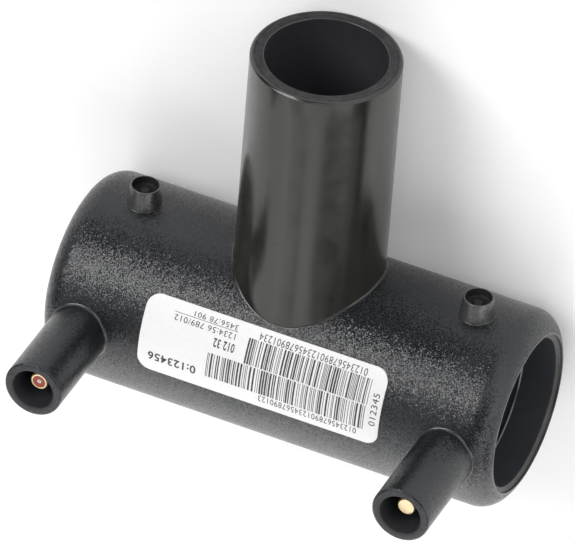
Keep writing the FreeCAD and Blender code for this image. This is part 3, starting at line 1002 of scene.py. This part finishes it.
def numberPiece(name, text, left, right, low, high, bold=0.0, upright=False):
    # plain numerals, cut into narrow strips and bent round the label
    curve = bpy.data.curves.new(name, "FONT")
    curve.body = text
    curve.size = 1.0
    curve.offset = bold
    curve.space_character = labelPrint["spacing"]
    carrier = bpy.data.objects.new(name, curve)
    bpy.context.scene.collection.objects.link(carrier)
    bpy.context.view_layer.update()
    flat = bpy.data.meshes.new_from_object(carrier)
    bpy.data.objects.remove(carrier)
    work = bmesh.new()
    work.from_mesh(flat)
    bpy.data.meshes.remove(flat)
    bmesh.ops.triangulate(work, faces=work.faces[:])
    xs = [v.co.x for v in work.verts]
    ys = [v.co.y for v in work.verts]
    lowX, highX, lowY, highY = min(xs), max(xs), min(ys), max(ys)
    for share in np.linspace(0.1, 0.9, labelPrint["cuts"]):
        if upright:
            spot, square = (lowX + share * (highX - lowX), 0, 0), (1, 0, 0)
        else:
            spot, square = (0, lowY + share * (highY - lowY), 0), (0, 1, 0)
        bmesh.ops.bisect_plane(work, geom=work.verts[:] + work.edges[:] + work.faces[:],
                               plane_co=spot, plane_no=square)
    mesh = bpy.data.meshes.new(name)
    work.to_mesh(mesh)
    work.free()
    flatPoints = np.zeros(len(mesh.vertices) * 3)
    mesh.vertices.foreach_get("co", flatPoints)
    flatPoints = flatPoints.reshape(-1, 3)
    across = (flatPoints[:, 0] - lowX) / (highX - lowX)
    rise = (flatPoints[:, 1] - lowY) / (highY - lowY)
    if upright:
        bent = onLabel(left + rise * (right - left), high - across * (high - low))
    else:
        bent = onLabel(left + across * (right - left), low + rise * (high - low))
    mesh.vertices.foreach_set("co", toRow(bent).ravel())
    mesh.update()
    mesh.materials.append(materials["printInk"])
    piece = bpy.data.objects.new(name, mesh)
    bpy.context.scene.collection.objects.link(piece)
    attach(piece, "root")
    return piece


for index, (text, left, right, low, high) in enumerate(labelPrint["numbers"]):
    numberPiece(f"labelNumber_{index}", text, left, right, low, high)
for index, (text, left, right, low, high) in enumerate(labelPrint["bold"]):
    numberPiece(f"labelBold_{index}", text, left, right, low, high, labelPrint["boldness"])
numberPiece("labelSideNumber", *labelPrint["sideNumber"], upright=True)
print("label print made")

# finishes of the carried-over nodes
nodeFinishes = {
    "tee_body": "grainedBlack",
    "heating_wire": "drawnWire",
    "terminal_pin_left": "turnedBrassLeft",
    "terminal_pin_right": "turnedBrass",
    "resistor_insert": "redInsert",
    "resistor_contact": "tinnedSteel",
    # painted shade: the indicator pins take the dark of their wells, so the craters look shaded
    "indicator_pin_left": "paintedShadeBlack",
    "indicator_pin_right": "paintedShadeBlack",
    "label": "labelFilm",
}
for nodeName, materialName in nodeFinishes.items():
    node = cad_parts[nodeName]
    node.data.materials.clear()
    node.data.materials.append(materials[materialName])

# floor, light and camera
stage = {
    "floorSize": 6.0,
    "floorColour": (0.86, 0.86, 0.86),
    "floorGlow": 0.18,  # seen by the camera and in reflections only, lights nothing
    "worldStrength": 0.0,
    "lampDistance": 1.2,
    "lampAim": (0, 0, 0.03),
}


def makeFloor():
    tree, shader, place = newMaterial("paleFloor")
    low = stage["floorColour"]
    paint(tree, shader, noiseOf(tree, place, 3.0), low, tuple(c * 1.02 for c in low))
    shader.inputs["Roughness"].default_value = 0.9
    shader.inputs["Specular IOR Level"].default_value = 0.0
    rays = addNode(tree, "ShaderNodeLightPath").outputs
    seen = mathOf(tree, "MAXIMUM", rays["Is Camera Ray"], rays["Is Glossy Ray"])
    seen = mathOf(tree, "MAXIMUM", seen, rays["Is Transmission Ray"])
    tree.links.new(mathOf(tree, "MULTIPLY", seen, stage["floorGlow"]),
                   shader.inputs["Emission Strength"])
    shader.inputs["Emission Color"].default_value = (1, 1, 1, 1)
    half = stage["floorSize"] / 2
    mesh = bpy.data.meshes.new("floor")
    mesh.from_pydata([(-half, -half, 0), (half, -half, 0), (half, half, 0), (-half, half, 0)],
                     [], [(0, 1, 2, 3)])
    mesh.materials.append(materials["paleFloor"])
    floor = bpy.data.objects.new("floor", mesh)
    bpy.context.scene.collection.objects.link(floor)
    floor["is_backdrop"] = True


def makeWorld():
    world = bpy.data.worlds.new("studio")
    world.use_nodes = True
    background = world.node_tree.nodes["Background"]
    background.inputs["Color"].default_value = (1, 1, 1, 1)
    background.inputs["Strength"].default_value = stage["worldStrength"]
    bpy.context.scene.world = world


softboxes = {
    # direction from the tee in the row's frame, side of the square in metres, radiance
    "right": ((0.98, 0.00, 0.21), 0.62, 1.99),
    "rightRear": ((0.85, 0.49, 0.21), 0.62, 1.65),
    "rearRight": ((0.49, 0.85, 0.21), 0.62, 1.39),
    "left": ((-0.98, 0.00, 0.21), 0.62, 0.56),
    "leftFront": ((-0.85, -0.49, 0.21), 0.62, 1.12),
    "farLeft": ((-0.49, -0.85, 0.21), 0.62, 1.66),
    "far": ((0.00, -0.98, 0.21), 0.62, 2.29),
    "farRight": ((0.49, -0.85, 0.21), 0.62, 2.35),
    "key": ((-0.46, 0.64, 0.62), 0.62, 7.00),
    "front": ((0.27, 0.67, 0.69), 0.62, 1.60),
    "highFarLeft": ((-0.46, -0.64, 0.62), 0.62, 1.23),
    "highFar": ((0.00, -0.79, 0.62), 0.62, 1.94),
    "highFarRight": ((0.46, -0.64, 0.62), 0.62, 0.35),
    "rightFill": ((0.71, -0.65, 0.28), 0.36, 0.50),
    "highRightFar": ((0.75, -0.24, 0.62), 0.62, 2.12),
    "topRearLeft": ((-0.22, 0.38, 0.90), 0.62, 0.78),
    "topLeft": ((-0.44, 0.00, 0.90), 0.62, 0.66),
    "topFarLeft": ((-0.22, -0.38, 0.90), 0.62, 0.84),
    "topFarRight": ((0.22, -0.38, 0.90), 0.62, 1.21),
}


def placeSoftbox(name, direction, side, radiance):
    light = bpy.data.lights.new(name, "AREA")
    light.shape = "SQUARE"
    light.size = side
    # an area lamp of even radiance shines pi * radiance on each unit of its face
    light.energy = radiance * math.pi * side ** 2
    lamp = bpy.data.objects.new(name, light)
    bpy.context.scene.collection.objects.link(lamp)
    away = Vector(direction).normalized()
    lamp.location = Vector(stage["lampAim"]) + away * stage["lampDistance"]
    lamp.rotation_mode = "QUATERNION"
    lamp.rotation_quaternion = away.to_track_quat("Z", "Y")


cameraRig = {
    "azimuth": 21.958,  # in the tee's own drawing frame, degrees
    "elevation": 38.17,
    "roll": 4.662,
    "distance": 3529.0,
    "target": (-4.829, 0.0, 15.633),
    "focalPixels": 16864.7,
    "pictureWidth": 575,
    "sensorWidth": 36.0,
    "clip": (0.1, 20.0),
}


def placeCamera():
    rig = cameraRig
    turn, rise, roll = (math.radians(rig[key]) for key in ("azimuth", "elevation", "roll"))
    # back points from the target to the camera, level and upright lie in the picture's plane
    back = np.array([math.sin(turn) * math.cos(rise), -math.cos(turn) * math.cos(rise),
                     math.sin(rise)])
    level = np.array([math.cos(turn), math.sin(turn), 0])
    upright = np.cross(back, level)
    right = math.cos(roll) * level + math.sin(roll) * upright
    up = np.cross(back, right)
    data = bpy.data.cameras.new("camera")
    data.sensor_width = rig["sensorWidth"]
    data.lens = rig["focalPixels"] * data.sensor_width / rig["pictureWidth"]
    data.clip_start, data.clip_end = rig["clip"]
    camera = bpy.data.objects.new("camera", data)
    bpy.context.scene.collection.objects.link(camera)
    bpy.context.scene.camera = camera
    axes = [layDown @ axis for axis in (right, up, back)]
    place = toRow(np.array(rig["target"]) + back * rig["distance"])
    camera.matrix_world = Matrix([[axes[0][i], axes[1][i], axes[2][i], place[i]]
                                  for i in range(3)] + [[0, 0, 0, 1]])


makeFloor()
makeWorld()
for name, box in softboxes.items():
    placeSoftbox(name, *box)
placeCamera()
bpy.context.scene.view_settings.view_transform = "Standard"
print("stage, light and camera placed")

low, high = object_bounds()
